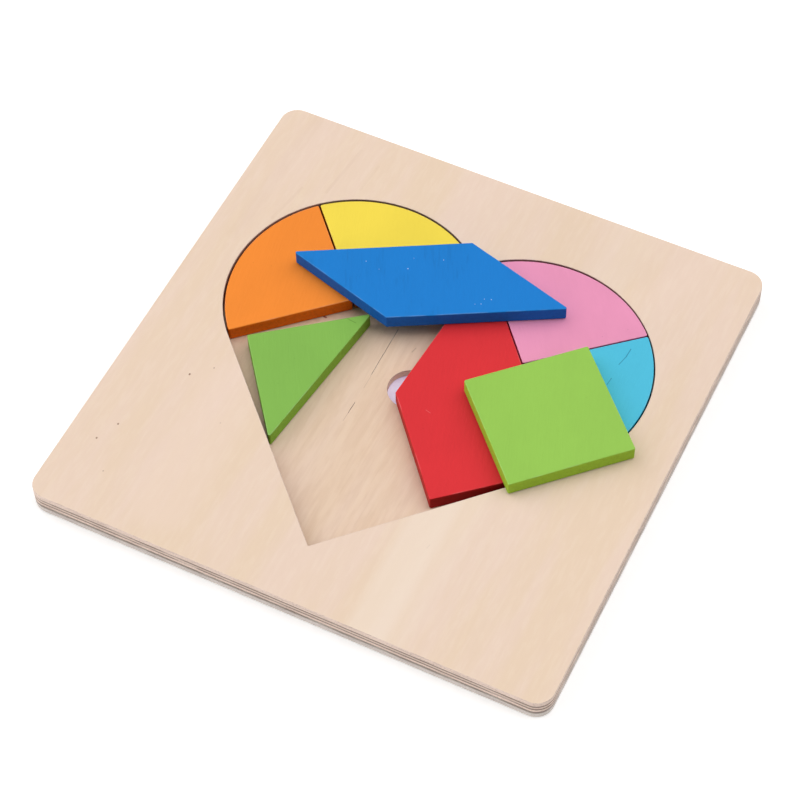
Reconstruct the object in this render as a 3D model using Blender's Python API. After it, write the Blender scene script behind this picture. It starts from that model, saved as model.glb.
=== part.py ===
"""Wooden heart puzzle: a square plywood tray with eight flat painted pieces.

The heart is drawn on a lattice that stands on its corner. U runs along the heart's right wall and
V along its left wall, both from the tip at the front. Two by two cells make the heart's square,
and a half circle of one cell's radius rises from each of the two far sides. All eight pieces are
cut from that lattice. Six of them lie in the recess, and two lie loose on top of those.
"""
import math

import bmesh
import bpy
from mathutils import Vector

MM = 0.001

# Tray: a frame board with the heart cut out, glued on a backing board
TRAY_SIDE = 180.0 * MM
TRAY_CORNER_RADIUS = 6.0 * MM
FRAME_THICKNESS = 5.3 * MM
BACKING_THICKNESS = 2.9 * MM
GLUE_LINE = 0.3 * MM
TRAY_EDGE_ROUNDING = 0.4 * MM

# Heart recess: the rim beside its two round sides, and its tip's distance from the front edge
SIDE_RIM = 15.9 * MM
TIP_MARGIN = 20.2 * MM

# Finger hole through the backing board, measured from the tray's centre
FINGER_HOLE_RADIUS = 7.5 * MM
FINGER_HOLE_X = 0.6 * MM
FINGER_HOLE_Y = 1.1 * MM

# Pieces: the clearance is all round each piece, the seat gap is under it
PIECE_THICKNESS = 5.3 * MM
PIECE_CLEARANCE = 0.4 * MM
PIECE_CORNER_RADIUS = 0.6 * MM
PIECE_EDGE_ROUNDING = 0.3 * MM
SEAT_GAP = 0.3 * MM

# Turns of the pieces at rest, in degrees, anticlockwise seen from above
LEFT_LOBE_TURN = -2.4
RIGHT_LOBE_TURN = -4.3
TRIANGLE_TURN = -7.4
PARALLELOGRAM_TURN = -61.1
SQUARE_TURN = -0.75

# Fineness of the round outlines and edges
DEGREES_PER_SEGMENT = 4.0
CORNER_DEGREES_PER_SEGMENT = 18.0
EDGE_SEGMENTS = 2
SHARP_ANGLE = math.radians(40.0)
CUTTER_OVERSHOOT = 2.0 * MM

# The heart is two cells and two lobes of one cell's radius across its widest line
CELL = (TRAY_SIDE - 2.0 * SIDE_RIM) / (2.0 + math.sqrt(2.0))
LATTICE_ANGLE = math.radians(45.0)
TIP_Y = TIP_MARGIN - TRAY_SIDE / 2.0
FRAME_BOTTOM = BACKING_THICKNESS + GLUE_LINE
RECESS_SEAT = BACKING_THICKNESS + SEAT_GAP

# The loose pieces on top lie on whichever is higher, the frame or the pieces in the recess
UPPER_SEAT = max(FRAME_BOTTOM + FRAME_THICKNESS, RECESS_SEAT + PIECE_THICKNESS) + SEAT_GAP

# Lattice places, in cells
LEFT_LOBE = Vector((1.0, 2.0))
RIGHT_LOBE = Vector((2.0, 1.0))
SQUARE_CELLS = ((0, 0), (1, 0), (1, 1), (0, 1))
TRAPEZOID_CELLS = ((1, 0), (2, 0), (2, 2), (1, 1))
PARALLELOGRAM_CELLS = ((0, 1), (1, 1), (2, 2), (1, 2))
TRIANGLE_CELLS = ((0, 1), (1, 2), (0, 2))

# Where the three loosest pieces were left, in cells from the heart's tip
TRIANGLE_PLACE = Vector((0.414, 1.588))
PARALLELOGRAM_PLACE = Vector((1.584, 1.891))
SQUARE_PLACE = Vector((1.992, 0.417))

# How far each piece beside a lobe's centre has slid, in clearances along U and V
ORANGE_SLIP = Vector((0.5, -0.8))
YELLOW_SLIP = Vector((-0.2, -0.8))
PINK_SLIP = Vector((0.1, -0.7))
CYAN_SLIP = Vector((0.15, 0.4))
RED_SLIP = Vector((1.1, -0.4))

# Bare wood and paint: linear colour and roughness
PLY = ((0.84, 0.65, 0.51), 0.62)
BACKING_PLY = ((0.80, 0.59, 0.45), 0.66)
ORANGE = ((0.94, 0.28, 0.045), 0.42)
YELLOW = ((0.93, 0.72, 0.085), 0.42)
PINK = ((0.84, 0.32, 0.51), 0.42)
CYAN = ((0.09, 0.54, 0.75), 0.42)
RED = ((0.73, 0.042, 0.05), 0.42)
BLUE = ((0.018, 0.217, 0.64), 0.38)
LIME = ((0.32, 0.59, 0.10), 0.42)
GREEN = ((0.24, 0.49, 0.09), 0.42)


def clear_scene():
    for item in list(bpy.data.objects):
        bpy.data.objects.remove(item, do_unlink=True)


def make_material(name, finish):
    colour, roughness = finish
    material = bpy.data.materials.new(name)
    material.use_nodes = True
    shader = material.node_tree.nodes["Principled BSDF"]
    shader.inputs["Base Color"].default_value = (*colour, 1.0)
    shader.inputs["Roughness"].default_value = roughness
    shader.inputs["Metallic"].default_value = 0.0
    return material


def arc(centre, radius, start, end, degrees_per_segment=DEGREES_PER_SEGMENT):
    """Points along an arc from start to end, both in radians, with both ends."""
    segments = max(2, math.ceil(math.degrees(abs(end - start)) / degrees_per_segment))
    points = []
    for step in range(segments + 1):
        angle = start + (end - start) * step / segments
        points.append(Vector(centre) + radius * Vector((math.cos(angle), math.sin(angle))))
    return points


def corner_arc(centre, radius, start, end):
    return arc(centre, radius, start, end, CORNER_DEGREES_PER_SEGMENT)


def tray_outline():
    """A square with round corners, anticlockwise."""
    reach = TRAY_SIDE / 2.0 - TRAY_CORNER_RADIUS
    outline = []
    for quarter, (side_x, side_y) in enumerate(((1, 1), (-1, 1), (-1, -1), (1, -1))):
        start = quarter * math.pi / 2.0
        centre = (side_x * reach, side_y * reach)
        outline += corner_arc(centre, TRAY_CORNER_RADIUS, start, start + math.pi / 2.0)
    return outline


def heart_outline():
    """The recess on the lattice: the tip, the right lobe, then the left lobe."""
    right_lobe = arc(RIGHT_LOBE * CELL, CELL, -math.pi / 2.0, math.pi / 2.0)
    left_lobe = arc(LEFT_LOBE * CELL, CELL, 0.0, math.pi)
    return [Vector((0.0, 0.0))] + right_lobe + left_lobe[1:]


def circle_outline(radius):
    return arc((0.0, 0.0), radius, 0.0, 2.0 * math.pi, 2.0 * DEGREES_PER_SEGMENT)[:-1]


def polygon_outline(cells):
    """A piece with straight sides, about the mean of its lattice corners."""
    corners = [Vector(cell) * CELL for cell in cells]
    middle = sum(corners, Vector((0.0, 0.0))) / len(corners)
    outline = []
    for index, corner in enumerate(corners):
        incoming = (corner - corners[index - 1]).normalized()
        outgoing = (corners[(index + 1) % len(corners)] - corner).normalized()
        sweep = incoming.angle(outgoing)
        inward = (outgoing - incoming).normalized()
        depth = (PIECE_CLEARANCE + PIECE_CORNER_RADIUS) / math.cos(sweep / 2.0)
        start = math.atan2(-incoming.x, incoming.y)
        centre = corner + inward * depth - middle
        outline += corner_arc(centre, PIECE_CORNER_RADIUS, start, start + sweep)
    return outline


def quarter_outline():
    """A quarter circle about its lobe's centre, between its own +X and +Y."""
    radius = CELL - PIECE_CLEARANCE
    near = PIECE_CLEARANCE + PIECE_CORNER_RADIUS
    far = math.sqrt((radius - PIECE_CORNER_RADIUS) ** 2 - near ** 2)
    tangent = math.atan2(near, far)
    right_angle = math.pi / 2.0
    outline = corner_arc((near, near), PIECE_CORNER_RADIUS, math.pi, 3.0 * right_angle)
    outline += corner_arc((far, near), PIECE_CORNER_RADIUS, -right_angle, tangent)
    outline += arc((0.0, 0.0), radius, tangent, right_angle - tangent)[1:-1]
    outline += corner_arc((near, far), PIECE_CORNER_RADIUS, right_angle - tangent, math.pi)
    return outline


def prism_mesh(name, outline, bottom, top):
    """An upright solid on an anticlockwise outline."""
    shape = bmesh.new()
    base = shape.faces.new([shape.verts.new((point.x, point.y, bottom)) for point in outline])
    lifted = bmesh.ops.extrude_face_region(shape, geom=[base])["geom"]
    lifted_verts = [item for item in lifted if isinstance(item, bmesh.types.BMVert)]
    bmesh.ops.translate(shape, verts=lifted_verts, vec=(0.0, 0.0, top - bottom))
    bmesh.ops.recalc_face_normals(shape, faces=shape.faces)
    mesh = bpy.data.meshes.new(name)
    shape.to_mesh(mesh)
    shape.free()
    mesh.shade_smooth()
    mesh.set_sharp_from_angle(angle=SHARP_ANGLE)
    return mesh


def add_object(name, mesh, parent=None):
    item = bpy.data.objects.new(name, mesh)
    item.parent = parent
    bpy.context.scene.collection.objects.link(item)
    return item


def add_cutter(name, outline, bottom, top, parent=None):
    mesh = prism_mesh(name, outline, bottom - CUTTER_OVERSHOOT, top + CUTTER_OVERSHOOT)
    cutter = add_object(name, mesh, parent)
    cutter.hide_render = True
    cutter.display_type = "WIRE"
    return cutter


def cut(item, cutter):
    boolean = item.modifiers.new("cut_" + cutter.name, "BOOLEAN")
    boolean.operation = "DIFFERENCE"
    boolean.solver = "EXACT"
    boolean.object = cutter


def round_edges(item, radius):
    bevel = item.modifiers.new("rounded_edges", "BEVEL")
    bevel.width = radius
    bevel.segments = EDGE_SEGMENTS
    bevel.limit_method = "ANGLE"
    bevel.angle_limit = SHARP_ANGLE
    bevel.harden_normals = True


def make_lattice():
    """An empty under the heart's tip, turned so that its X and Y are U and V."""
    lattice = add_object("heart_lattice", None)
    lattice.location.y = TIP_Y
    lattice.rotation_euler.z = LATTICE_ANGLE
    return lattice


def make_backing_board():
    board = add_object("backing_board", prism_mesh("backing_board", tray_outline(), 0.0, BACKING_THICKNESS))
    board.data.materials.append(make_material("backing_ply", BACKING_PLY))
    hole = circle_outline(FINGER_HOLE_RADIUS)
    cutter = add_cutter("finger_hole_cutter", hole, 0.0, BACKING_THICKNESS)
    cutter.location = (FINGER_HOLE_X, FINGER_HOLE_Y, 0.0)
    cut(board, cutter)
    round_edges(board, TRAY_EDGE_ROUNDING)


def make_frame_board(lattice):
    mesh = prism_mesh("frame_board", tray_outline(), 0.0, FRAME_THICKNESS)
    board = add_object("frame_board", mesh)
    board.location.z = FRAME_BOTTOM
    board.data.materials.append(make_material("frame_ply", PLY))
    top = FRAME_BOTTOM + FRAME_THICKNESS
    cutter = add_cutter("heart_cutter", heart_outline(), FRAME_BOTTOM, top, lattice)
    cut(board, cutter)
    round_edges(board, TRAY_EDGE_ROUNDING)


def make_piece(name, outline, finish, lattice, place, turn, seat=RECESS_SEAT):
    """A painted piece on the lattice: place in metres, turn in degrees, seat its underside's height."""
    piece = add_object(name, prism_mesh(name, outline, 0.0, PIECE_THICKNESS), lattice)
    piece.data.materials.append(make_material(name + "_paint", finish))
    piece.location = (place.x, place.y, seat)
    piece.rotation_euler.z = math.radians(turn)
    round_edges(piece, PIECE_EDGE_ROUNDING)
    return piece


def make_quarter(name, finish, lattice, lobe, facing, lobe_turn, slip):
    """A quarter circle: facing is its first side's direction on the lattice, in degrees."""
    place = lobe * CELL + slip * PIECE_CLEARANCE
    make_piece(name, quarter_outline(), finish, lattice, place, facing + lobe_turn)


def make_trapezoid(lattice):
    """The red piece, turned about the right lobe's centre with the two quarters there."""
    middle = sum((Vector(cell) for cell in TRAPEZOID_CELLS), Vector((0.0, 0.0))) / len(TRAPEZOID_CELLS)
    arm = (middle - RIGHT_LOBE) * CELL
    turn = math.radians(RIGHT_LOBE_TURN)
    turned_x = arm.x * math.cos(turn) - arm.y * math.sin(turn)
    turned_y = arm.x * math.sin(turn) + arm.y * math.cos(turn)
    place = RIGHT_LOBE * CELL + Vector((turned_x, turned_y)) + RED_SLIP * PIECE_CLEARANCE
    outline = polygon_outline(TRAPEZOID_CELLS)
    make_piece("red_trapezoid", outline, RED, lattice, place, RIGHT_LOBE_TURN)


def make_lower_pieces(lattice):
    """The six pieces that lie in the recess."""
    make_quarter("orange_quarter", ORANGE, lattice, LEFT_LOBE, 90.0, LEFT_LOBE_TURN, ORANGE_SLIP)
    make_quarter("yellow_quarter", YELLOW, lattice, LEFT_LOBE, 0.0, LEFT_LOBE_TURN, YELLOW_SLIP)
    make_quarter("pink_quarter", PINK, lattice, RIGHT_LOBE, 0.0, RIGHT_LOBE_TURN, PINK_SLIP)
    make_quarter("cyan_quarter", CYAN, lattice, RIGHT_LOBE, -90.0, RIGHT_LOBE_TURN, CYAN_SLIP)
    make_trapezoid(lattice)
    triangle = polygon_outline(TRIANGLE_CELLS)
    make_piece("green_triangle", triangle, GREEN, lattice, TRIANGLE_PLACE * CELL, TRIANGLE_TURN)


def make_upper_pieces(lattice):
    """The two pieces that lie across the ones in the recess."""
    long_piece = polygon_outline(PARALLELOGRAM_CELLS)
    place = PARALLELOGRAM_PLACE * CELL
    make_piece("blue_parallelogram", long_piece, BLUE, lattice, place, PARALLELOGRAM_TURN, UPPER_SEAT)
    square = polygon_outline(SQUARE_CELLS)
    make_piece("lime_square", square, LIME, lattice, SQUARE_PLACE * CELL, SQUARE_TURN, UPPER_SEAT)


def main():
    clear_scene()
    lattice = make_lattice()
    make_backing_board()
    make_frame_board(lattice)
    make_lower_pieces(lattice)
    make_upper_pieces(lattice)


main()
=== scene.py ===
import math

import bmesh
import bpy
from mathutils import Vector, Matrix


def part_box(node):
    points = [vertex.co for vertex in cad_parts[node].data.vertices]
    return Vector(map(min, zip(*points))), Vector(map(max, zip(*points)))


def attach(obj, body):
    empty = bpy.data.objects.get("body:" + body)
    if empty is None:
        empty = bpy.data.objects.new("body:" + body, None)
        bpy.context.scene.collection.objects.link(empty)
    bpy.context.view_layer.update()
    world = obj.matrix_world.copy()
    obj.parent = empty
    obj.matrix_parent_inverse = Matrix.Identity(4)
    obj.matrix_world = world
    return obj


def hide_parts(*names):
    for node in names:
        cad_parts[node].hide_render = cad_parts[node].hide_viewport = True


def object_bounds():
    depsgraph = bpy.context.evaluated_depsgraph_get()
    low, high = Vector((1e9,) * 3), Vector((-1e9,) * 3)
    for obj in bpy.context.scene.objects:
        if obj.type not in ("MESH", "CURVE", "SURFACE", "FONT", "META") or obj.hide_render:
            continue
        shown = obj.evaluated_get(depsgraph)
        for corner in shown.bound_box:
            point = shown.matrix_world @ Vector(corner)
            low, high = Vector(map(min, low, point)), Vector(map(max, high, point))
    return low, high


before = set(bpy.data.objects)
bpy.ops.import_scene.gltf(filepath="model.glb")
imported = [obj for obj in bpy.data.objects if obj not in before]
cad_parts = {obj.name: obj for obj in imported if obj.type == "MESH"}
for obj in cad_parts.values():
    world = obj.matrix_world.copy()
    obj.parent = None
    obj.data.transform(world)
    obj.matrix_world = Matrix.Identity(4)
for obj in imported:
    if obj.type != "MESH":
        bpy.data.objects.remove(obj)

# Looks of the wooden heart puzzle. Every board and every painted piece is sawn afresh from the
# outline of its node: the cut has a fine waver, rounded arrises and, on plywood, sunken glue lines.
# Lengths are in metres, and the tray's front is towards -Y. A pair of limits holds the values of a
# pattern or a distance at which its mask is 0 and 1.
CAD_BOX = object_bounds()
MM = 0.001
WHITE = (1.0, 1.0, 1.0, 1.0)

# Camera, fitted to the tray's four corners. Lens and sensor are in millimetres. The heading is
# anticlockwise from +Y, the dip is below level, and the roll is about the line of sight.
TRAY_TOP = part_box("frame_board")[1].z
CAMERA_PLACE = (0.211444, -0.413261, TRAY_TOP + 0.642293)
CAMERA_LENS = 109.97
CAMERA_SENSOR = 36.0
CAMERA_HEADING = math.radians(27.39)
CAMERA_DIP = math.radians(54.587)
CAMERA_ROLL = math.radians(-1.554)

# Light: an even dome, soft lamps overhead, behind on the right and on the left, and two level ones,
# in front on the left and on the right. A lamp has its strength, its width, its tilt from straight
# up and its heading from +X, the last three in degrees.
DOME_STRENGTH = 0.2
LAMPS = {
    "overhead_lamp": (0.5, 40.0, 0.0, 0.0),
    "right_lamp": (1.36, 70.0, 38.0, 42.0),
    "left_lamp": (1.35, 62.0, 52.0, 178.0),
    "front_lamp": (1.3, 14.0, 87.0, -125.0),
    "side_lamp": (0.35, 14.0, 87.0, -8.0),
}

# Floor under the tray: nearly white, with a glow that only the camera sees. The glow is tinted in
# the middle, where the finger hole shows it, and turns white between two distances under the tray.
FLOOR_HEIGHT = CAD_BOX[0][2]
FLOOR_DROP = 0.05 * MM
FLOOR_REACH = 3.0
FLOOR_TINT = (0.9, 0.9, 0.9, 1.0)
FLOOR_GLOW = 0.3
HOLE_TINT = (0.24, 0.2, 0.66, 1.0)
UNDER_TRAY = (20.0 * MM, 60.0 * MM)

# Outlines. A chord up to this length, between turns to one side, belongs to an arc
LONGEST_CHORD = 4.0 * MM
# Parts that a chord of an arc is divided into, and the length of a straight side's parts
CHORD_PARTS = 3
STRAIGHT_STEP = 2.0 * MM
# Points nearer to each other than this are one point
WELD = 0.002 * MM
# Greatest Z of the normal of an upright face, and least Z of a level one's
UPRIGHT = 0.02
LEVEL = 0.9999
# Least squareness of a corner: the smaller it is, the further a sharp corner is drawn in
SHARPEST = 0.5
# A point of an inset outline stays where it clears every side by this share of the inset
CLEAR_SHARE = 0.9
# Stands in for no rounding where the sum divides by it
LEAST_ROUNDING = 0.001 * MM

# Cracks in the recess floor's top veneer. They wander by a share of their width in two waves, taper
# to both ends, and are unevenly wide by a share in a third. Waves are in radians over the length.
CRACK_STEPS = 24
CRACK_WANDER = 0.5
CRACK_WAVES = (11.0, 5.3)
CRACK_PHASE = 1.0
CRACK_BLUNTNESS = 0.6
CRACK_UNEVENNESS = 0.35
CRACK_RIPPLE = 23.0
# Share of a sheet's rounding and waver that a crack or the finger hole has
CRISP_SHARE = 0.08


def colour(red, green, blue):
    """Linear colour from the 0 to 255 values that a picture shows."""
    channels = []
    for value in (red, green, blue):
        share = value / 255.0
        channels.append(share / 12.92 if share <= 0.04045 else ((share + 0.055) / 1.055) ** 2.4)
    return (*channels, 1.0)


def put(tree, kind, inputs=None, **settings):
    """Add a node. An input is a plain value, or the output socket that it is linked to."""
    node = tree.nodes.new(kind)
    for name, value in settings.items():
        setattr(node, name, value)
    for key, value in (inputs or {}).items():
        socket = node.inputs[key]
        if isinstance(value, bpy.types.NodeSocket):
            tree.links.new(value, socket)
        else:
            socket.default_value = value
    return node


def made(tree, kind, inputs=None, out=0, **settings):
    """Add a node and give one of its output sockets."""
    return put(tree, kind, inputs, **settings).outputs[out]


def new_group(name, kind, inputs, outputs):
    """A node group with (name, socket type, default) inputs and (name, socket type) outputs."""
    group = bpy.data.node_groups.new(name, kind)
    for label, socket_type, default in inputs:
        socket = group.interface.new_socket(label, in_out="INPUT", socket_type=socket_type)
        if default is not None:
            socket.default_value = default
    for label, socket_type in outputs:
        group.interface.new_socket(label, in_out="OUTPUT", socket_type=socket_type)
    source = group.nodes.new("NodeGroupInput")
    sink = group.nodes.new("NodeGroupOutput")
    return group, source.outputs, sink


def arithmetic(tree):
    """Short makers of math nodes in a tree. Lengths and dot products come from output 1."""
    def scalar(operation, *values, clamp=False):
        values = dict(enumerate(values))
        return made(tree, "ShaderNodeMath", values, operation=operation, use_clamp=clamp)

    def vector(operation, *values, out=0):
        return made(tree, "ShaderNodeVectorMath", dict(enumerate(values)), out, operation=operation)

    return scalar, vector


def axes(tree, value):
    """A vector's components, by X, Y and Z."""
    return put(tree, "ShaderNodeSeparateXYZ", {"Vector": value}).outputs


def noise(tree, place, per_metre, detail=3.0, roughness=0.5, seed=None):
    """A noise pattern with values about 0.5. A seed picks one of many."""
    inputs = {"Vector": place, "Scale": per_metre, "Detail": detail, "Roughness": roughness}
    if seed is None:
        return made(tree, "ShaderNodeTexNoise", inputs, "Fac")
    return made(tree, "ShaderNodeTexNoise", {**inputs, "W": seed}, "Fac", noise_dimensions="4D")


def spread(tree, value, low, high):
    """The value stretched so that low becomes 0 and high becomes 1, softly at both ends."""
    return made(tree, "ShaderNodeMapRange", {"Value": value, "From Min": low, "From Max": high},
                interpolation_type="SMOOTHSTEP")


# Outlines

def upright_rings(node):
    """The rings round the lower rim of the node's upright faces, each a list of points in order."""
    shape = bmesh.new()
    shape.from_mesh(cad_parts[node].data)
    bmesh.ops.remove_doubles(shape, verts=shape.verts, dist=WELD)
    upright = {face for face in shape.faces if abs(face.normal.z) < UPRIGHT}
    lowest = min(vert.co.z for face in upright for vert in face.verts)
    following = {}
    for edge in shape.edges:
        is_rim = sum(face in upright for face in edge.link_faces) == 1
        if is_rim and all(abs(vert.co.z - lowest) < WELD for vert in edge.verts):
            for vert in edge.verts:
                following.setdefault(vert, []).append(edge.other_vert(vert))
    rings = []
    waiting = dict.fromkeys(following)
    while waiting:
        ring = [next(iter(waiting))]
        while ring:
            waiting.pop(ring[-1])
            ahead = [vert for vert in following[ring[-1]] if vert in waiting]
            if not ahead:
                break
            ring.append(ahead[0])
        rings.append([Vector((vert.co.x, vert.co.y)) for vert in ring])
    shape.free()
    return rings


def signed_area(ring):
    """The area inside a ring, positive where it runs anticlockwise."""
    return sum(a.x * b.y - b.x * a.y for a, b in zip(ring, ring[1:] + ring[:1])) / 2.0


def turn_at(ring, index):
    """How far the ring turns at a point, in radians, anticlockwise positive."""
    before = ring[index] - ring[index - 1]
    after = ring[(index + 1) % len(ring)] - ring[index]
    return before.angle_signed(after) * -1.0


def refined(ring):
    """The ring with its arcs made rounder and its straight sides divided."""
    turns = [turn_at(ring, index) for index in range(len(ring))]
    points = []
    for index, start in enumerate(ring):
        after = (index + 1) % len(ring)
        chord = ring[after] - start
        length = chord.length
        sweep = max(turns[index], turns[after], key=abs)
        is_arc = length < LONGEST_CHORD and turns[index] * turns[after] > 0.0
        parts = CHORD_PARTS if is_arc else max(1, round(length / STRAIGHT_STEP))
        along = chord / length
        outward = Vector((along.y, -along.x))
        for part in range(parts):
            reach = length * part / parts
            bulge = 0.0
            if is_arc:
                radius = length / (2.0 * math.sin(sweep / 2.0))
                half = length / 2.0
                offset = reach - half
                rise = math.sqrt(radius ** 2 - offset ** 2) - math.sqrt(radius ** 2 - half ** 2)
                bulge = math.copysign(rise, radius)
            points.append(start + along * reach + outward * bulge)
    return points


def node_outlines(node):
    """The node's outlines from above: the outer one, anticlockwise, then its holes, clockwise."""
    rings = upright_rings(node)
    outer = max(rings, key=lambda ring: abs(signed_area(ring)))
    rings.sort(key=lambda ring: ring is not outer)
    outlines = []
    for ring in rings:
        anticlockwise = signed_area(ring) > 0.0
        if anticlockwise != (ring is outer):
            ring = ring[::-1]
        outlines.append(refined(ring))
    return outlines


def outward_directions(outline):
    """For each point the direction out of the wood, of length 1 and longer at a corner."""
    directions = []
    for index, point in enumerate(outline):
        before = (point - outline[index - 1]).normalized()
        after = (outline[(index + 1) % len(outline)] - point).normalized()
        normals = [Vector((side.y, -side.x)) for side in (before, after)]
        squareness = max(1.0 + normals[0].dot(normals[1]), SHARPEST)
        directions.append((normals[0] + normals[1]) / squareness)
    return directions


def distance_to(outline, point):
    """How far a point lies from the nearest side of an outline."""
    distances = []
    for start, end in zip(outline, outline[1:] + outline[:1]):
        run = end - start
        share = min(max((point - start).dot(run) / run.length_squared, 0.0), 1.0)
        distances.append((start + run * share - point).length)
    return min(distances)


def inset(outline, distance):
    """The outline drawn into the wood, less the points that would cross over at a sharp notch."""
    outwards = outward_directions(outline)
    moved = [point - outward * distance for point, outward in zip(outline, outwards)]
    return [point for point in moved if distance_to(outline, point) > distance * CLEAR_SHARE]


def crack_outline(start, end, width):
    """A long thin split between two places, as a hole: it wanders a little and tapers to both ends."""
    run = end - start
    side = Vector((-run.y, run.x)).normalized() * width
    left = []
    right = []
    for step in range(1, CRACK_STEPS):
        share = step / CRACK_STEPS
        swing, drift = (share * wave for wave in CRACK_WAVES)
        wander = CRACK_WANDER * math.sin(swing) * math.sin(drift + CRACK_PHASE)
        ripple = 1.0 + CRACK_UNEVENNESS * math.sin(share * CRACK_RIPPLE)
        half = 0.5 * math.sin(math.pi * share) ** CRACK_BLUNTNESS * ripple
        middle = start + run * share + side * wander
        left.append(middle + side * half)
        right.append(middle - side * half)
    return [start, *left, end, *right[::-1]]


def outline_mesh(name, outlines, crisp):
    """Closed rings of edges, each point with the direction out of the wood, shorter where crisp."""
    mesh = bpy.data.meshes.new(name)
    points = []
    edges = []
    outwards = []
    rings = [(ring, 1.0) for ring in outlines] + [(ring, CRISP_SHARE) for ring in crisp]
    for outline, softness in rings:
        first = len(points)
        for index, (point, outward) in enumerate(zip(outline, outward_directions(outline))):
            points.append((point.x, point.y, 0.0))
            edges.append((first + index, first + (index + 1) % len(outline)))
            outwards += (outward.x * softness, outward.y * softness, 0.0)
    mesh.from_pydata(points, edges, [])
    attribute = mesh.attributes.new("outward", "FLOAT_VECTOR", "POINT")
    attribute.data.foreach_set("vector", outwards)
    return mesh


# The sawn sheet, as a Geometry Nodes tree

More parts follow.
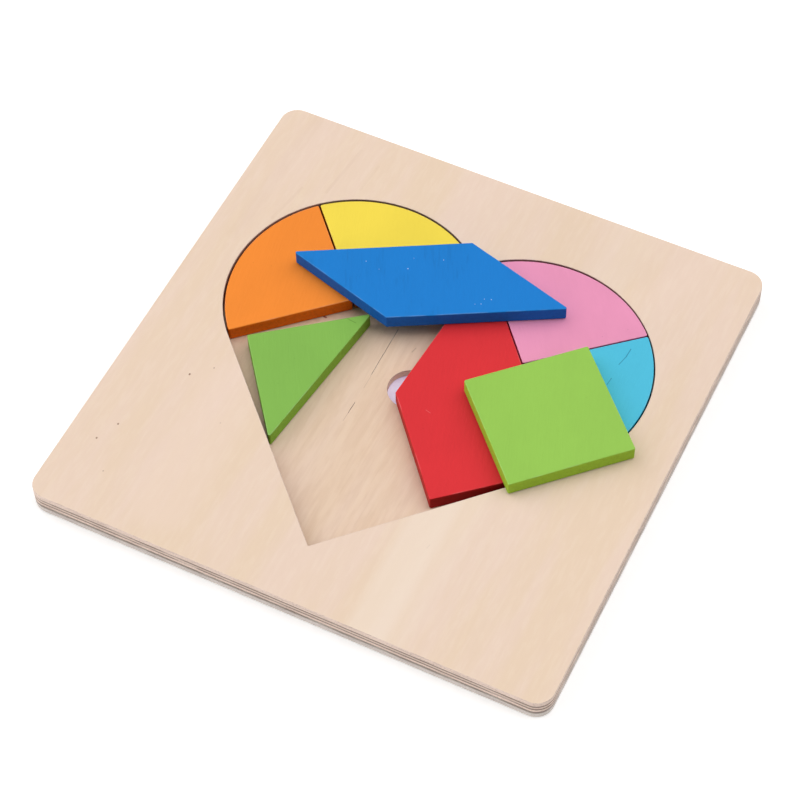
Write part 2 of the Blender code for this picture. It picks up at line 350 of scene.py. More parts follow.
def build_sawn_sheet():
    """Outlines in, a solid sheet out: wavering cut, rounded arrises, sunken glue lines."""
    tree, given, result = new_group("sawn_sheet", "GeometryNodeTree", (
        ("Outline", "NodeSocketGeometry", None),
        ("Bottom", "NodeSocketFloat", 0.0),
        ("Thickness", "NodeSocketFloat", 5.0 * MM),
        ("Rows", "NodeSocketInt", 32),
        ("Crowding", "NodeSocketFloat", 0.0),
        ("Top Rounding", "NodeSocketFloat", 0.3 * MM),
        ("Bottom Rounding", "NodeSocketFloat", 0.3 * MM),
        ("Upper Glue Line", "NodeSocketFloat", 0.0),
        ("Lower Glue Line", "NodeSocketFloat", 0.0),
        ("Glue Line Width", "NodeSocketFloat", 0.3 * MM),
        ("Glue Line Depth", "NodeSocketFloat", 0.0),
        ("Waver", "NodeSocketFloat", 0.1 * MM),
        ("Waver Length", "NodeSocketFloat", 7.0 * MM),
        ("Seed", "NodeSocketFloat", 0.0),
        ("Face Finish", "NodeSocketMaterial", None),
        ("Edge Finish", "NodeSocketMaterial", None),
    ), (("Sheet", "NodeSocketGeometry"),))
    scalar, vector = arithmetic(tree)
    outward = made(tree, "GeometryNodeInputNamedAttribute", {"Name": "outward"},
                   data_type="FLOAT_VECTOR")
    place = made(tree, "GeometryNodeInputPosition")

    def upwards(distance):
        return made(tree, "ShaderNodeCombineXYZ", {"Z": distance})

    def inwards(distance):
        reach = scalar("MULTIPLY", distance, -1.0)
        reach = made(tree, "ShaderNodeCombineXYZ", {"X": reach, "Y": reach, "Z": reach})
        return vector("MULTIPLY", outward, reach)

    def shifted(geometry, offset):
        return made(tree, "GeometryNodeSetPosition", {"Geometry": geometry, "Offset": offset})

    frequency = scalar("DIVIDE", 1.0, given["Waver Length"])
    waver = noise(tree, place, frequency, detail=2.0, seed=given["Seed"])
    waver = scalar("MULTIPLY", waver, given["Waver"])
    path = made(tree, "GeometryNodeMeshToCurve", {"Mesh": shifted(given["Outline"], inwards(waver))})

    # Wall: the path swept over rows, each with its height and how far it is drawn in
    swept_path, path_place = captured(tree, path, "VECTOR", place)
    row_line = made(tree, "GeometryNodeCurvePrimitiveLine",
                    {"Start": (0.0, 0.0, 0.0), "End": (0.0, 1.0 * MM, 0.0)})
    row_line = made(tree, "GeometryNodeResampleCurve", {"Curve": row_line, "Count": given["Rows"]})
    factor = made(tree, "GeometryNodeSplineParameter", out="Factor")
    row_line, share = captured(tree, row_line, "FLOAT", factor)
    wall = made(tree, "GeometryNodeCurveToMesh", {"Curve": swept_path, "Profile Curve": row_line})
    swing = scalar("SINE", scalar("MULTIPLY", share, math.tau))
    swing = scalar("DIVIDE", scalar("MULTIPLY", swing, given["Crowding"]), math.tau)
    height = scalar("MULTIPLY", scalar("SUBTRACT", share, swing), given["Thickness"])
    depth = scalar("SUBTRACT", given["Thickness"], height)
    draw = rounding(scalar, height, given["Bottom Rounding"])
    draw = scalar("ADD", draw, rounding(scalar, depth, given["Top Rounding"]))
    for line in ("Upper Glue Line", "Lower Glue Line"):
        distance = scalar("ABSOLUTE", scalar("SUBTRACT", depth, given[line]))
        distance = scalar("DIVIDE", distance, given["Glue Line Width"])
        closeness = scalar("SUBTRACT", 1.0, distance, clamp=True)
        draw = scalar("ADD", draw, scalar("MULTIPLY", closeness, given["Glue Line Depth"]))
    target = vector("ADD", path_place, inwards(draw))
    target = vector("ADD", target, upwards(scalar("ADD", height, given["Bottom"])))
    wall = made(tree, "GeometryNodeSetPosition", {"Geometry": wall, "Position": target})
    wall = made(tree, "GeometryNodeSetShadeSmooth", {"Geometry": wall, "Shade Smooth": True})

    # Faces: the same path, drawn in by the whole rounding
    sheets = put(tree, "GeometryNodeJoinGeometry")
    tree.links.new(wall, sheets.inputs[0])
    top = scalar("ADD", given["Bottom"], given["Thickness"])
    for label, level in (("Bottom Rounding", given["Bottom"]), ("Top Rounding", top)):
        face = made(tree, "GeometryNodeFillCurve", {"Curve": shifted(path, inwards(given[label]))})
        face = made(tree, "GeometryNodeSetShadeSmooth",
                    {"Geometry": shifted(face, upwards(level)), "Shade Smooth": False})
        tree.links.new(face, sheets.inputs[0])
    solid = made(tree, "GeometryNodeMergeByDistance",
                 {"Geometry": sheets.outputs[0], "Distance": WELD / 2.0})
    solid = made(tree, "GeometryNodeRealizeInstances", {"Geometry": solid})
    solid = made(tree, "GeometryNodeSetMaterial",
                 {"Geometry": solid, "Material": given["Edge Finish"]})
    slope = scalar("ABSOLUTE", axes(tree, made(tree, "GeometryNodeInputNormal"))["Z"])
    is_face = made(tree, "FunctionNodeCompare", {"A": slope, "B": LEVEL}, operation="GREATER_THAN")
    solid = made(tree, "GeometryNodeSetMaterial",
                 {"Geometry": solid, "Selection": is_face, "Material": given["Face Finish"]})
    tree.links.new(solid, result.inputs["Sheet"])
    return tree


def captured(tree, geometry, kind, value):
    """The geometry with a value fixed on each of its points, and that value."""
    node = put(tree, "GeometryNodeCaptureAttribute", {"Geometry": geometry}, domain="POINT")
    node.capture_items.new(kind, "Fixed")
    tree.links.new(value, node.inputs["Fixed"])
    return node.outputs["Geometry"], node.outputs["Fixed"]


def rounding(scalar, distance, radius):
    """How far a quarter round draws the edge in, at a distance from the face."""
    safe = scalar("MAXIMUM", radius, LEAST_ROUNDING)
    share = scalar("DIVIDE", scalar("SUBTRACT", safe, distance), safe, clamp=True)
    drop = scalar("SQRT", scalar("SUBTRACT", 1.0, scalar("MULTIPLY", share, share), clamp=True))
    return scalar("MULTIPLY", scalar("SUBTRACT", 1.0, drop), radius)


def saw_sheet(name, outlines, finishes, bottom, thickness, crisp=(), **sizes):
    """A piece sawn to the outlines: the tree's result as a plain mesh with its faces outwards."""
    piece = bpy.data.objects.new(name, outline_mesh(name, outlines, crisp))
    bpy.context.scene.collection.objects.link(piece)
    modifier = piece.modifiers.new("sawn_sheet", "NODES")
    modifier.node_group = SAWN_SHEET
    values = {"Bottom": bottom, "Thickness": thickness,
              "Face Finish": finishes[0], "Edge Finish": finishes[1]}
    values.update({label.replace("_", " ").title(): value for label, value in sizes.items()})
    for item in SAWN_SHEET.interface.items_tree:
        if item.in_out == "INPUT" and item.name in values:
            modifier[item.identifier] = values.pop(item.name)
    if values:
        raise ValueError(f"sawn_sheet has no inputs {sorted(values)}")
    return made_plain(piece)


def made_plain(piece):
    """The piece's evaluated mesh, with its faces outwards, takes the place of its modifiers."""
    bpy.context.view_layer.update()
    evaluated = piece.evaluated_get(bpy.context.evaluated_depsgraph_get())
    mesh = bpy.data.meshes.new_from_object(evaluated)
    piece.modifiers.clear()
    piece.data = mesh
    shape = bmesh.new()
    shape.from_mesh(mesh)
    bmesh.ops.recalc_face_normals(shape, faces=shape.faces)
    shape.to_mesh(mesh)
    shape.free()
    mesh.attributes.remove(mesh.attributes["outward"])
    mesh.name = piece.name
    return piece


# Shared effects, as shader node groups

def build_wood_grain():
    """Wood along Y: hair-fine fibres, short soft dashes and broad blotches, each from 0 to 1."""
    tree, given, result = new_group("wood_grain", "ShaderNodeTree", (
        ("Vector", "NodeSocketVector", None),
        ("Seed", "NodeSocketFloat", 0.0),
        ("Fibres per Metre", "NodeSocketFloat", 900.0),
        ("Fibre Stretch", "NodeSocketFloat", 18.0),
        ("Dashes per Metre", "NodeSocketFloat", 420.0),
        ("Dash Stretch", "NodeSocketFloat", 6.0),
        ("Blotches per Metre", "NodeSocketFloat", 60.0),
        ("Blotch Stretch", "NodeSocketFloat", 1.8),
    ), (("Fibres", "NodeSocketFloat"), ("Dashes", "NodeSocketFloat"), ("Blotches", "NodeSocketFloat")))
    scalar, vector = arithmetic(tree)

    def layer(kind, label, detail, roughness, limits):
        squeeze = scalar("DIVIDE", 1.0, given[f"{kind} Stretch"])
        scale = made(tree, "ShaderNodeCombineXYZ", {"X": 1.0, "Y": squeeze, "Z": 1.0})
        place = vector("MULTIPLY", given["Vector"], scale)
        pattern = noise(tree, place, given[f"{label} per Metre"], detail, roughness, given["Seed"])
        tree.links.new(spread(tree, pattern, *limits), result.inputs[label])

    layer("Fibre", "Fibres", detail=3.0, roughness=0.6, limits=(0.38, 0.66))
    layer("Dash", "Dashes", detail=2.0, roughness=0.5, limits=(0.36, 0.66))
    layer("Blotch", "Blotches", detail=4.0, roughness=0.55, limits=(0.36, 0.64))
    return tree


# A mark's limits as shares of half its width, and the least square of a length to divide by
MARK_LIMITS = (1.4, 0.6)
LEAST_SQUARE = 1e-12


def build_mark():
    """A mask for a scratch from Start to End, or for a dot where both are one place."""
    tree, given, result = new_group("mark", "ShaderNodeTree", (
        ("Vector", "NodeSocketVector", None),
        ("Start", "NodeSocketVector", None),
        ("End", "NodeSocketVector", None),
        ("Width", "NodeSocketFloat", 0.3 * MM),
    ), (("Mask", "NodeSocketFloat"),))
    scalar, vector = arithmetic(tree)
    flat = vector("MULTIPLY", given["Vector"], (1.0, 1.0, 0.0))
    reach = vector("SUBTRACT", flat, given["Start"])
    run = vector("SUBTRACT", given["End"], given["Start"])
    square = scalar("MAXIMUM", vector("DOT_PRODUCT", run, run, out=1), LEAST_SQUARE)
    along = scalar("DIVIDE", vector("DOT_PRODUCT", reach, run, out=1), square, clamp=True)
    nearest = made(tree, "ShaderNodeVectorMath", {0: run, "Scale": along}, operation="SCALE")
    distance = vector("LENGTH", vector("SUBTRACT", reach, nearest), out=1)
    half = scalar("MULTIPLY", given["Width"], 0.5)
    mask = spread(tree, distance, *(scalar("MULTIPLY", half, limit) for limit in MARK_LIMITS))
    tree.links.new(mask, result.inputs["Mask"])
    return tree


# A speck's size as a share of Size, the least and what chance adds, and its limits as shares of that
SPECK_SIZES = (0.25, 0.4)
SPECK_LIMITS = (1.3, 0.5)


def build_specks():
    """Small scattered dots, as a mask: Share of the cells hold one."""
    tree, given, result = new_group("specks", "ShaderNodeTree", (
        ("Vector", "NodeSocketVector", None),
        ("Cells per Metre", "NodeSocketFloat", 90.0),
        ("Share", "NodeSocketFloat", 0.1),
        ("Size", "NodeSocketFloat", 0.35 * MM),
    ), (("Mask", "NodeSocketFloat"),))
    scalar, _ = arithmetic(tree)
    cells = put(tree, "ShaderNodeTexVoronoi",
                {"Vector": given["Vector"], "Scale": given["Cells per Metre"]}, voronoi_dimensions="2D")
    chance = axes(tree, cells.outputs["Color"])
    chosen = scalar("LESS_THAN", chance["X"], given["Share"])
    size = scalar("ADD", SPECK_SIZES[0], scalar("MULTIPLY", chance["Y"], SPECK_SIZES[1]))
    size = scalar("MULTIPLY", scalar("MULTIPLY", given["Size"], given["Cells per Metre"]), size)
    low, high = (scalar("MULTIPLY", size, limit) for limit in SPECK_LIMITS)
    dot = made(tree, "ShaderNodeMapRange",
               {"Value": cells.outputs["Distance"], "From Min": low, "From Max": high})
    tree.links.new(scalar("MULTIPLY", dot, chosen), result.inputs["Mask"])
    return tree


def grouped(tree, group, **inputs):
    """The group placed in a material's tree, with its inputs by name. Gives its outputs."""
    inputs = {label.replace("_", " "): value for label, value in inputs.items()}
    return put(tree, "ShaderNodeGroup", inputs, node_tree=group).outputs


# The mix node's sockets for colours, which share their names with others
MIX_SHARE, MIX_FIRST, MIX_SECOND = 0, 6, 7
MIX_RESULT = 2


def blended(tree, share, first, second):
    """Colour first turned into second by a share, or by a mask."""
    inputs = {MIX_SHARE: share, MIX_FIRST: first, MIX_SECOND: second}
    return made(tree, "ShaderNodeMix", inputs, MIX_RESULT, data_type="RGBA")


def stained(tree, tint, stain, mask, share):
    """The tint turned into the stain by a share where the mask is 1."""
    return blended(tree, made(tree, "ShaderNodeMath", {0: mask, 1: share}, operation="MULTIPLY"),
                   tint, stain)


# Finishes

# How rough bare faces, sawn plywood, glue, painted faces and painted edges are
BARE_ROUGHNESS = 0.62
SAWN_ROUGHNESS = 0.75
GLUE_ROUGHNESS = 0.5
PAINT_ROUGHNESS = 0.5
SOAKED_ROUGHNESS = 0.6
# Strength of their gloss, and the white that it adds to a painted face
BARE_SPECULAR = 0.2
PAINT_SPECULAR = 0.15
PAINT_SHEEN = 0.01
# Depth of the relief of sawn plywood, glue, painted faces and painted edges
SAWN_RELIEF = 0.03 * MM
GLUE_RELIEF = 0.05 * MM
PAINT_RELIEF = 0.03 * MM
SOAKED_RELIEF = 0.05 * MM

PIN_KNOT = colour(128, 84, 58)
PALE_BAND = colour(242, 223, 205)
PINK_BAND = colour(241, 216, 200)
BROWN_BAND = colour(204, 170, 140)
GLUE_BROWN = colour(112, 88, 76)
DRIED_GLUE = colour(150, 126, 110)
RED_CHIP = colour(150, 34, 28)
# Scorched brown, made darker as painted shade for the frame's walls in the gaps round the pieces
SCORCH_AND_GAP_SHADE = colour(84, 52, 32)
# Pale tone, painted light on the shaded walls of the finger hole and the cracks
PAINTED_LIGHT_HOLE_WALL = colour(248, 222, 206)

# Bare faces: how many blotches lie in a metre and how long they are for their width, and the limits
# of the pale and the dark dashes
BLOTCHES = (75.0, 8.0)
PALE_DASHES = (0.55, 1.0)
DARK_DASHES = (0.5, 0.0)

# Sawn plywood: pores, and streaks that are flat by so much. Both have limits and a share of brown
PORES_PER_METRE = 1600.0
PORE_LIMITS = (0.45, 0.75)
PORE_SHARE = 0.3
STREAKS_PER_METRE = 130.0
STREAK_FLATNESS = (1.0, 1.0, 9.0)
STREAK_LIMITS = (0.45, 0.7)
STREAK_SHARE = 0.22
# Part of a glue line's width that is brown throughout, and the limits of its breaks
GLUE_LINE_CORE = 0.3
GLUE_LINE_BREAKS = (0.2, 0.5)
# Distances from the tray's middle between which outer walls become inner ones, and the depths
# below the top between which an inner wall takes its wall colour: scorch with painted shade on the
# frame, painted light on the floor's hole and cracks
INNER_WALLS = (85.0 * MM, 80.0 * MM)
WALL_DEPTHS = (0.05 * MM, 0.3 * MM)

# Dried glue
GLUE_GRAINS_PER_METRE = 400.0
GLUE_LIMITS = (0.35, 0.7)

# Painted faces: uneven paint, as blotches, a share and a darkness, and fibres that show through,
# as a stretch, a darkness and the limits of the fibres and of the places that have them
UNEVEN_PER_METRE = 90.0
UNEVEN_SHARE = 0.25
UNEVEN_DARKNESS = 0.88
FIBRE_STRETCH = 9.0
FIBRE_DARKNESS = 0.6
FIBRE_LIMITS = (0.45, 1.0)
FIBRE_PLACES = (0.2, 0.8)
# Tiny dark specks in the paint
SPECKS_PER_METRE = 160.0
SPECKLED_CELLS = 0.12
SPECK_SIZE = 0.3 * MM
SPECK_SHARE = 0.35
SPECK_DARKNESS = 0.5

# Painted edges: soaked patches, and the arris in the face's paint with a painted highlight in patches
SOAKED_PER_METRE = 900.0
SOAKED_FINENESS = 0.6
SOAKED_LIMITS = (0.35, 0.75)
SOAKED_DARKNESS = 0.84
ARRIS_HIGHLIGHT_PER_METRE = 160.0
ARRIS_HIGHLIGHT_LIMITS = (0.4, 0.65)
ARRIS_HIGHLIGHT_SHARE = 0.07
ARRIS = 0.4 * MM


def new_finish(name, roughness, specular):
    """A material, its tree, its shader, and the place on the object, which leads its patterns."""
    material = bpy.data.materials.new(name)
    material.use_nodes = True
    tree = material.node_tree
    shader = tree.nodes["Principled BSDF"]
    shader.inputs["Roughness"].default_value = roughness
    shader.inputs["Specular IOR Level"].default_value = specular
    place = made(tree, "ShaderNodeTexCoord", out="Object")
    return material, tree, shader, place


def turned(tree, place, degrees):
    """Object coordinates turned about Z, so that the grain's Y lies at a heading from the tray's Y."""
    turn = (0.0, 0.0, math.radians(-degrees))
    return made(tree, "ShaderNodeMapping", {"Vector": place, "Rotation": turn})


def give_surface(tree, shader, tint, height, depth):
    """Give the finish its colour, and a relief of so many metres."""
    tree.links.new(tint, shader.inputs["Base Color"])
    bump = made(tree, "ShaderNodeBump", {"Strength": 1.0, "Distance": depth, "Height": height})
    tree.links.new(bump, shader.inputs["Normal"])


def bare_face(name, tints, shares, dashes, relief, marks, seed):
    """Sanded plywood face: cream and pink blotches, pale and dark dashes, fine fibres, marks.

    tints are cream, pink, pale and dark; shares say how much of pale dashes, dark dashes and fibres;
    dashes are how many lie in a metre and how long they are for their width.
    """
    material, tree, shader, place = new_finish(name, BARE_ROUGHNESS, BARE_SPECULAR)
    cream, pink, pale, dark = tints
    pale_share, dark_share, fibre_share = shares
    grain = grouped(tree, WOOD_GRAIN, Vector=place, Seed=seed,
                    Dashes_per_Metre=dashes[0], Dash_Stretch=dashes[1],
                    Blotches_per_Metre=BLOTCHES[0], Blotch_Stretch=BLOTCHES[1])
    tint = blended(tree, grain["Blotches"], cream, pink)
    tint = stained(tree, tint, pale, spread(tree, grain["Dashes"], *PALE_DASHES), pale_share)
    tint = stained(tree, tint, dark, spread(tree, grain["Dashes"], *DARK_DASHES), dark_share)
    tint = stained(tree, tint, dark, grain["Fibres"], fibre_share)
    tint = with_marks(tree, place, tint, marks)
    give_surface(tree, shader, tint, grain["Fibres"], relief)
    return material


def with_marks(tree, place, tint, marks):
    """The tint with each mark on it: start, end and width in millimetres, colour and share."""
    for start, end, width, stain, share in marks:
        mask = grouped(tree, MARK, Vector=place, Start=(start[0] * MM, start[1] * MM, 0.0),
                       End=(end[0] * MM, end[1] * MM, 0.0), Width=width * MM)["Mask"]
        tint = stained(tree, tint, stain, mask, share)
    return tint


def ply_edge(name, end_grain, long_grain, top, lines, core, wall, wall_share):
    """Sawn plywood edge: glue lines at depths below the top, the core's grain square to the face's.

    lines are depths, widths and shares; core is two depths. wall is the colour that the walls away
    from the board's outer sides turn to, by the share: scorch with painted shade on the frame, painted
    light on the floor's hole and cracks.
    """
    material, tree, shader, place = new_finish(name, SAWN_ROUGHNESS, BARE_SPECULAR)
    scalar, vector = arithmetic(tree)
    depth = scalar("SUBTRACT", top, axes(tree, place)["Z"])
    normal = axes(tree, made(tree, "ShaderNodeNewGeometry", out="Normal"))
    facing_y = scalar("POWER", scalar("ABSOLUTE", normal["Y"]), 2.0)
    in_core = scalar("MULTIPLY", scalar("GREATER_THAN", depth, core[0]),
                     scalar("LESS_THAN", depth, core[1]))
    end_share = scalar("ABSOLUTE", scalar("SUBTRACT", facing_y, in_core))
    pores = noise(tree, place, PORES_PER_METRE)
    streaks = noise(tree, vector("MULTIPLY", place, STREAK_FLATNESS), STREAKS_PER_METRE)
    tint = blended(tree, end_share, long_grain, end_grain)
    tint = stained(tree, tint, GLUE_BROWN, spread(tree, pores, *PORE_LIMITS), PORE_SHARE)
    tint = stained(tree, tint, GLUE_BROWN, spread(tree, streaks, *STREAK_LIMITS), STREAK_SHARE)
    breaks = spread(tree, streaks, *GLUE_LINE_BREAKS)
    for line, width, share in lines:
        distance = scalar("ABSOLUTE", scalar("SUBTRACT", depth, line))
        mask = spread(tree, distance, width, width * GLUE_LINE_CORE)
        tint = stained(tree, tint, GLUE_BROWN, scalar("MULTIPLY", mask, breaks), share)
    spot = axes(tree, vector("ABSOLUTE", place))
    inside = spread(tree, scalar("MAXIMUM", spot["X"], spot["Y"]), *INNER_WALLS)
    inside = scalar("MULTIPLY", inside, spread(tree, depth, *WALL_DEPTHS))
    # Inner walls turn to the wall colour: painted shade on the frame, painted light on the hole's walls
    tint = stained(tree, tint, wall, inside, wall_share)
    give_surface(tree, shader, tint, pores, SAWN_RELIEF)
    return material


def glue_finish():
    """Dried wood glue squeezed between the boards."""
    material, tree, shader, place = new_finish("dried_glue", GLUE_ROUGHNESS, BARE_SPECULAR)
    grains = noise(tree, place, GLUE_GRAINS_PER_METRE)
    tint = blended(tree, spread(tree, grains, *GLUE_LIMITS), GLUE_BROWN, DRIED_GLUE)
    give_surface(tree, shader, tint, grains, GLUE_RELIEF)
    return material


def darkened(tint, share):
    """The tint with its light times the share."""
    return tuple(channel * share for channel in tint[:3]) + (1.0,)


def without_sheen(paint):
    """The paint less the white that its gloss adds, so that it shows as written."""
    return tuple(max(channel - PAINT_SHEEN, 0.0) for channel in paint[:3]) + (1.0,)


def painted_face(name, paint, grain_degrees, strength, marks, seed):
    """Satin paint over wood: slight unevenness, fibres that show through, tiny dark specks, marks."""
    material, tree, shader, place = new_finish(name, PAINT_ROUGHNESS, PAINT_SPECULAR)
    scalar, _ = arithmetic(tree)
    along = turned(tree, place, grain_degrees)
    grain = grouped(tree, WOOD_GRAIN, Vector=along, Fibre_Stretch=FIBRE_STRETCH,
                    Blotches_per_Metre=UNEVEN_PER_METRE, Seed=seed)
    tint = stained(tree, paint, darkened(paint, UNEVEN_DARKNESS), grain["Blotches"], UNEVEN_SHARE)
    fibres = scalar("MULTIPLY", spread(tree, grain["Fibres"], *FIBRE_LIMITS), strength)
    fibres = scalar("MULTIPLY", fibres, spread(tree, grain["Blotches"], *FIBRE_PLACES))
    tint = blended(tree, fibres, tint, darkened(paint, FIBRE_DARKNESS))
    specks = grouped(tree, SPECKS, Vector=place, Cells_per_Metre=SPECKS_PER_METRE,
                     Share=SPECKLED_CELLS, Size=SPECK_SIZE)["Mask"]
    tint = stained(tree, tint, darkened(paint, SPECK_DARKNESS), specks, SPECK_SHARE)
    tint = with_marks(tree, place, tint, marks)
    give_surface(tree, shader, tint, grain["Fibres"], PAINT_RELIEF)
    return material


def painted_edge(name, paint, side, top):
    """Sawn edge under paint that soaked in, darker than the face partly as painted shade, with a thin
    painted highlight on the arris on top.
    """
    material, tree, shader, place = new_finish(name, SOAKED_ROUGHNESS, PAINT_SPECULAR)
    scalar, _ = arithmetic(tree)
    depth = scalar("SUBTRACT", top, axes(tree, place)["Z"])
    soaked = noise(tree, place, SOAKED_PER_METRE, roughness=SOAKED_FINENESS)
    highlight_patches = noise(tree, place, ARRIS_HIGHLIGHT_PER_METRE)
    # The edge colour, darker than the face partly as painted shade, in soaked patches
    tint = blended(tree, spread(tree, soaked, *SOAKED_LIMITS), side, darkened(side, SOAKED_DARKNESS))
    # Painted highlight: the face's paint turned towards white on the arris, in patches
    arris_highlight = blended(tree, ARRIS_HIGHLIGHT_SHARE, paint, WHITE)
    arris_highlight = blended(tree, spread(tree, highlight_patches, *ARRIS_HIGHLIGHT_LIMITS), paint, arris_highlight)
    tint = blended(tree, spread(tree, depth, ARRIS, 0.0), tint, arris_highlight)
    give_surface(tree, shader, tint, soaked, SOAKED_RELIEF)
    return material


# The tray. Marks are placed in millimetres on the face: start, end, width, colour and share.

FRAME_MARKS = [
    ((-65.0, -27.9), (-65.0, -28.1), 0.6, PIN_KNOT, 0.85),
    ((-59.0, -22.3), (-59.0, -22.4), 0.5, PIN_KNOT, 0.6),
    ((-76.2, -55.1), (-76.2, -55.2), 0.6, PIN_KNOT, 0.8),
    ((-79.7, -62.8), (-79.7, -62.9), 0.6, PIN_KNOT, 0.75),
    ((33.6, -54.6), (33.9, -53.2), 0.35, PIN_KNOT, 0.35),
    ((-46.7, -40.6), (-46.7, -40.7), 0.5, PIN_KNOT, 0.3),
    ((-71.4, -72.9), (-71.4, -73.0), 0.5, PIN_KNOT, 0.35),
    ((30.0, -92.0), (29.5, -35.0), 13.0, PALE_BAND, 0.6),
    ((37.0, -92.0), (38.0, -20.0), 12.0, PALE_BAND, 0.3),
    ((42.0, 55.0), (42.0, 92.0), 14.0, PALE_BAND, 0.2),
    ((-50.0, -25.0), (-48.0, -75.0), 20.0, PINK_BAND, 0.4),
    ((-57.5, 82.0), (-60.0, 60.0), 1.2, BROWN_BAND, 0.13),
    ((-68.5, 58.0), (-71.5, 42.0), 1.2, BROWN_BAND, 0.12),
    ((-78.0, 88.0), (-80.0, 30.0), 5.0, BROWN_BAND, 0.07),
    ((-49.0, 78.0), (-50.0, 66.0), 1.0, BROWN_BAND, 0.1),
]
FLOOR_MARKS = [
    ((-38.3, 15.5), (-37.7, 15.5), 0.7, RED_CHIP, 0.85),
    ((-4.97, 16.93), (-5.44, 14.88), 0.35, PIN_KNOT, 0.3),
    ((-13.3, 0.2), (-13.3, -5.0), 0.2, PIN_KNOT, 0.25),
    ((-13.4, -16.2), (-13.5, -19.5), 0.2, PIN_KNOT, 0.3),
]
# Start and end in millimetres and width of each crack
FLOOR_CRACKS = [
    ((-13.68, 21.95), (-13.44, 0.24), 0.07),
    ((-13.32, -11.28), (-13.41, -16.16), 0.1),
]
# Cream, pink, pale and dark wood
FRAME_TINTS = (colour(235, 210, 185), colour(237, 212, 194),
               colour(245, 227, 209), colour(222, 194, 168))
FLOOR_TINTS = (colour(234, 206, 180), colour(236, 209, 188),
               colour(244, 222, 200), colour(208, 174, 144))
# The frame's two glue lines: depths below its top, the width of their stain and how strong it is
FRAME_GLUE_LINES = (2.2 * MM, 3.7 * MM)
STAIN_WIDTH = 0.45 * MM
STAIN_SHARE = 0.85
# Thickness of the floor's top veneer, and how far the film of glue stops short of the edges
BACKING_VENEER = 0.9 * MM
GLUE_INSET = 0.7 * MM


def make_frame():
    """The board with the heart-shaped opening, three veneers thick."""
    low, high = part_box("frame_board")
    face = bare_face("bare_face", FRAME_TINTS, shares=(0.12, 0.05, 0.06), dashes=(750.0, 5.0),
                     relief=0.02 * MM, marks=FRAME_MARKS, seed=0.0)
    # Its inner walls are scorched and darkened further as painted shade for the gaps round the pieces
    edge = ply_edge("frame_edge", end_grain=colour(240, 217, 203), long_grain=colour(231, 209, 195),
                    top=high.z, lines=[(line, STAIN_WIDTH, STAIN_SHARE) for line in FRAME_GLUE_LINES],
                    core=FRAME_GLUE_LINES, wall=SCORCH_AND_GAP_SHADE, wall_share=0.6)
    piece = saw_sheet("sawn_frame", node_outlines("frame_board"), (face, edge), low.z, high.z - low.z,
                      rows=72, top_rounding=0.15 * MM, bottom_rounding=0.3 * MM, waver=0.04 * MM,
                      upper_glue_line=FRAME_GLUE_LINES[0], lower_glue_line=FRAME_GLUE_LINES[1],
                      glue_line_width=0.25 * MM, glue_line_depth=0.12 * MM, seed=1.0)
    finish_piece(piece, "tray", "frame_board")


def make_backing():
    """The floor's top veneer, split in two places, on the rest of the backing board."""
    low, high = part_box("backing_board")
    joint = high.z - BACKING_VENEER
    outer, *holes = node_outlines("backing_board")
    face = bare_face("recess_floor", FLOOR_TINTS, shares=(0.14, 0.13, 0.14), dashes=(480.0, 5.0),
                     relief=0.03 * MM, marks=FLOOR_MARKS, seed=3.0)
    # The walls of the finger hole and the cracks turn to a pale tone, painted light on walls in shade
    edge = ply_edge("backing_edge", end_grain=colour(232, 222, 212), long_grain=colour(224, 214, 209),
                    top=high.z, lines=[(0.1 * MM, 0.9 * MM, 0.6)], core=(1.0 * MM, 1.9 * MM),
                    wall=PAINTED_LIGHT_HOLE_WALL, wall_share=0.85)
    cracks = [crack_outline(Vector(start) * MM, Vector(end) * MM, width * MM)
              for start, end, width in FLOOR_CRACKS]
    veneer = saw_sheet("floor_veneer", [outer], (face, edge), joint, BACKING_VENEER,
                       crisp=holes + cracks, rows=20, top_rounding=0.75 * MM, bottom_rounding=0.0,
                       waver=0.06 * MM, seed=2.0)
    finish_piece(veneer, "tray", "backing_board")
    board = saw_sheet("sawn_backing", [outer], (face, edge), low.z, joint - low.z, crisp=holes,
                      rows=24, top_rounding=0.0, bottom_rounding=0.3 * MM, waver=0.06 * MM, seed=2.0)
    finish_piece(board, "tray", "backing_board")


def make_glue_film():
    """Glue between the two boards, seen as the dark joint on the tray's edge."""
    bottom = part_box("backing_board")[1].z
    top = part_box("frame_board")[0].z
    outlines = [inset(outline, GLUE_INSET) for outline in node_outlines("frame_board")]
    finish = glue_finish()
    film = saw_sheet("glue_film", outlines, (finish, finish), bottom, top - bottom, rows=4,
                     top_rounding=0.0, bottom_rounding=0.0, waver=0.25 * MM,
                     waver_length=3.0 * MM, seed=4.0)
    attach(film, "tray")


def finish_piece(piece, body, node):
    """Attach a piece to the body it rides on, and hide the node it stands for."""
    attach(piece, body)
    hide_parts(node)


# The painted pieces, by body: shape, colours of the face and the sawn edge, heading of the grain in
# degrees, and how much of it shows. The edge colours are darker partly from paint soaked into the sawn
# wood and partly as painted shade; the yellow piece's dark brown edge is painted shade for the dark gap
# beside it
PAINTED = {
    "orange": ("quarter", colour(249, 144, 58), colour(248, 114, 26), 10.0, 0.02),
    "yellow": ("quarter", colour(249, 223, 83), colour(140, 76, 20), 20.0, 0.02),
    "pink": ("quarter", colour(239, 155, 190), colour(214, 70, 120), 35.0, 0.02),
    "cyan": ("quarter", colour(86, 196, 227), colour(30, 150, 190), 0.0, 0.03),
    "red": ("trapezoid", colour(223, 56, 61), colour(175, 35, 34), 15.0, 0.02),
    "blue": ("parallelogram", colour(36, 128, 209), colour(28, 90, 170), 27.0, 0.2),
    "lime": ("square", colour(154, 202, 89), colour(148, 184, 56), 20.0, 0.02),
    "green": ("triangle", colour(135, 186, 86), colour(128, 172, 58), 30.0, 0.02),
}
SCRATCHED_CYAN = colour(28, 98, 138)
SCRATCHED_GREEN = colour(88, 132, 46)
PALE_BLUE = colour(226, 238, 250)
PALE_RED = colour(246, 140, 142)
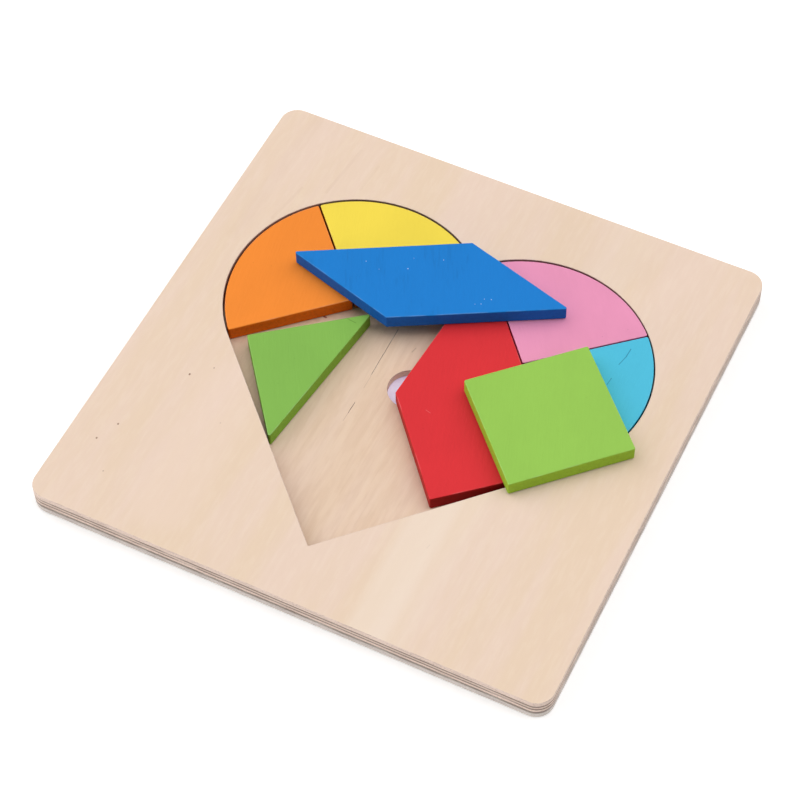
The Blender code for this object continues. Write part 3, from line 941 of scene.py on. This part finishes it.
PAINT_MARKS = {
    "cyan": [
        ((60.5, 43.0), (60.3, 39.4), 0.3, SCRATCHED_CYAN, 0.7),
        ((60.3, 39.4), (59.4, 35.6), 0.3, SCRATCHED_CYAN, 0.6),
        ((59.4, 29.5), (59.1, 26.5), 0.3, SCRATCHED_CYAN, 0.5),
    ],
    "red": [((10.6, -7.7), (12.4, -8.2), 0.25, PALE_RED, 0.3)],
    "green": [
        ((-30.4, 14.8), (-27.8, 14.2), 0.3, SCRATCHED_GREEN, 0.5),
        ((-27.8, 14.2), (-25.6, 14.0), 0.3, SCRATCHED_GREEN, 0.6),
    ],
    "blue": [((x, y), (x, y), width, PALE_BLUE, 0.75) for x, y, width in (
        (-32.0, 34.8, 0.28), (-18.0, 37.9, 0.36), (-8.9, 46.3, 0.3), (-18.2, 42.8, 0.2),
        (-26.6, 33.6, 0.2), (10.3, 37.2, 0.26), (12.5, 38.0, 0.3), (8.4, 34.0, 0.22),
        (10.2, 34.9, 0.26))],
}
# How much the cut wavers: the blue piece's is rougher
PAINTED_WAVER = 0.05 * MM
ROUGH_WAVER = 0.15 * MM
# Seeds of the pieces' patterns and cuts
PAINT_SEED_STEP = 3.7
FIRST_CUT_SEED = 5.0


def make_painted():
    """The eight painted pieces."""
    for index, (body, (shape, paint, side, degrees, strength)) in enumerate(PAINTED.items()):
        node = f"{body}_{shape}"
        low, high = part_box(node)
        paint = without_sheen(paint)
        face = painted_face(f"{body}_paint_face", paint, degrees, strength,
                            marks=PAINT_MARKS.get(body, ()), seed=index * PAINT_SEED_STEP)
        edge = painted_edge(f"{body}_paint_edge", paint, without_sheen(side), high.z)
        waver = ROUGH_WAVER if body == "blue" else PAINTED_WAVER
        piece = saw_sheet(f"sawn_{node}", node_outlines(node), (face, edge), low.z, high.z - low.z,
                          rows=30, crowding=0.8, top_rounding=0.3 * MM, bottom_rounding=0.3 * MM,
                          waver=waver, seed=FIRST_CUT_SEED + index)
        finish_piece(piece, body, node)


# Stage, light and camera

def shown_rays(tree):
    """1 for what the camera sees, by itself or in a gloss, and 0 for light on the object."""
    scalar, _ = arithmetic(tree)
    path = put(tree, "ShaderNodeLightPath").outputs
    seen = scalar("MAXIMUM", path["Is Camera Ray"], path["Is Glossy Ray"])
    return scalar("MAXIMUM", seen, path["Is Transmission Ray"])


def make_floor():
    """The plain pale floor that the tray lies on."""
    mesh = bpy.data.meshes.new("floor")
    height = FLOOR_HEIGHT - FLOOR_DROP
    sides = ((-1, -1), (1, -1), (1, 1), (-1, 1))
    mesh.from_pydata([(x * FLOOR_REACH, y * FLOOR_REACH, height) for x, y in sides], [], [(0, 1, 2, 3)])
    floor = bpy.data.objects.new("floor", mesh)
    bpy.context.scene.collection.objects.link(floor)
    material = bpy.data.materials.new("white_floor")
    material.use_nodes = True
    tree = material.node_tree
    tree.nodes.clear()
    scalar, vector = arithmetic(tree)
    from_middle = vector("LENGTH", made(tree, "ShaderNodeTexCoord", out="Object"), out=1)
    glow_tint = blended(tree, spread(tree, from_middle, *UNDER_TRAY), HOLE_TINT, WHITE)
    strength = scalar("MULTIPLY", shown_rays(tree), FLOOR_GLOW)
    glow = made(tree, "ShaderNodeEmission", {"Color": glow_tint, "Strength": strength})
    diffuse = made(tree, "ShaderNodeBsdfDiffuse", {"Color": FLOOR_TINT})
    both = made(tree, "ShaderNodeAddShader", {0: diffuse, 1: glow})
    put(tree, "ShaderNodeOutputMaterial", {"Surface": both})
    mesh.materials.append(material)


def make_light():
    """The dome, which is white where the camera sees it, and the lamps."""
    world = bpy.data.worlds.new("studio")
    bpy.context.scene.world = world
    world.use_nodes = True
    tree = world.node_tree
    scalar, _ = arithmetic(tree)
    strength = scalar("MULTIPLY_ADD", shown_rays(tree), 1.0 - DOME_STRENGTH, DOME_STRENGTH)
    background = tree.nodes["Background"]
    background.inputs["Color"].default_value = WHITE
    tree.links.new(strength, background.inputs["Strength"])
    for name, lamp in LAMPS.items():
        hang_lamp(name, *lamp)


def hang_lamp(name, strength, width, tilt, heading):
    """A broad far lamp: its width, its tilt from straight up and its heading from +X in degrees."""
    light = bpy.data.lights.new(name, "SUN")
    light.energy = strength
    light.angle = math.radians(width)
    lamp = bpy.data.objects.new(name, light)
    tilt = math.radians(tilt)
    heading = math.radians(heading)
    level = math.sin(tilt)
    source = Vector((level * math.cos(heading), level * math.sin(heading), math.cos(tilt)))
    lamp.rotation_euler = source.to_track_quat("Z", "Y").to_euler()
    bpy.context.scene.collection.objects.link(lamp)


def make_camera():
    """The camera, where it stood for the photograph."""
    data = bpy.data.cameras.new("photo_camera")
    data.lens = CAMERA_LENS
    data.sensor_width = CAMERA_SENSOR
    camera = bpy.data.objects.new("photo_camera", data)
    dip = Matrix.Rotation(math.pi / 2.0 - CAMERA_DIP, 4, "X")
    turn = Matrix.Rotation(CAMERA_HEADING, 4, "Z") @ dip @ Matrix.Rotation(CAMERA_ROLL, 4, "Z")
    camera.matrix_world = Matrix.Translation(CAMERA_PLACE) @ turn
    bpy.context.scene.collection.objects.link(camera)
    bpy.context.scene.camera = camera


WOOD_GRAIN = build_wood_grain()
MARK = build_mark()
SPECKS = build_specks()
SAWN_SHEET = build_sawn_sheet()
make_frame()
make_backing()
make_glue_film()
make_painted()
make_floor()
make_light()
make_camera()
bpy.context.scene.view_settings.view_transform = "Standard"
